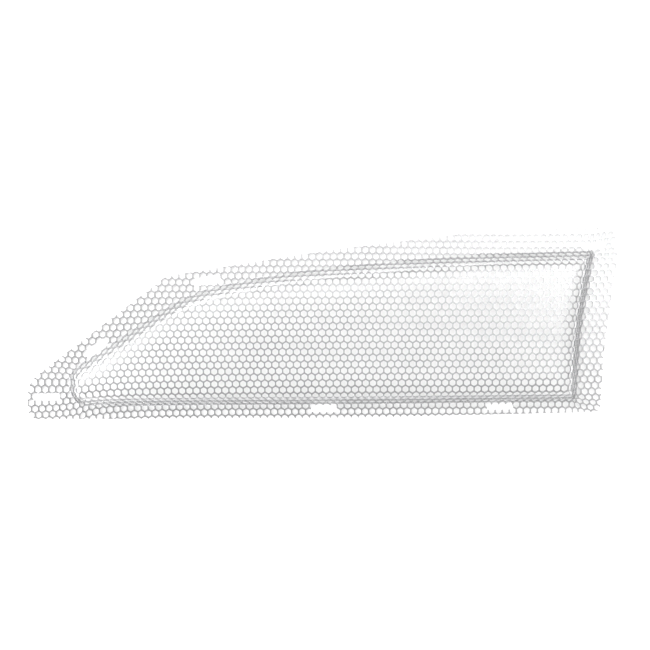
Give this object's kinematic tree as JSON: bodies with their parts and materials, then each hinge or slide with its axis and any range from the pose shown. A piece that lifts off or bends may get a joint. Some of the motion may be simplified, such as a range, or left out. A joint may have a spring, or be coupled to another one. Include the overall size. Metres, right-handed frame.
{
  "type": "windshield screen",
  "caption": "Wing-shaped punched metal mesh screen: a raised flat panel with a sloping drawn wall and a flat flange with tab slots, pressed from one sheet.",
  "frame": {"origin": "under the middle of the outline, on the flange's underside", "axes": "+X along the length towards the square rear end, the pointed nose at -X, +Y across the width, +Z from the fairing side to the outside"},
  "size_m": [0.293, 0.094, 0.0083],
  "materials": {
    "punched_sheet": "satin, with rolled hole edges"
  },
  "bodies": {
    "root": {"face_panel": "punched_sheet", "drawn_wall": "punched_sheet", "mounting_flange": "punched_sheet"}
  },
  "joints": []
}
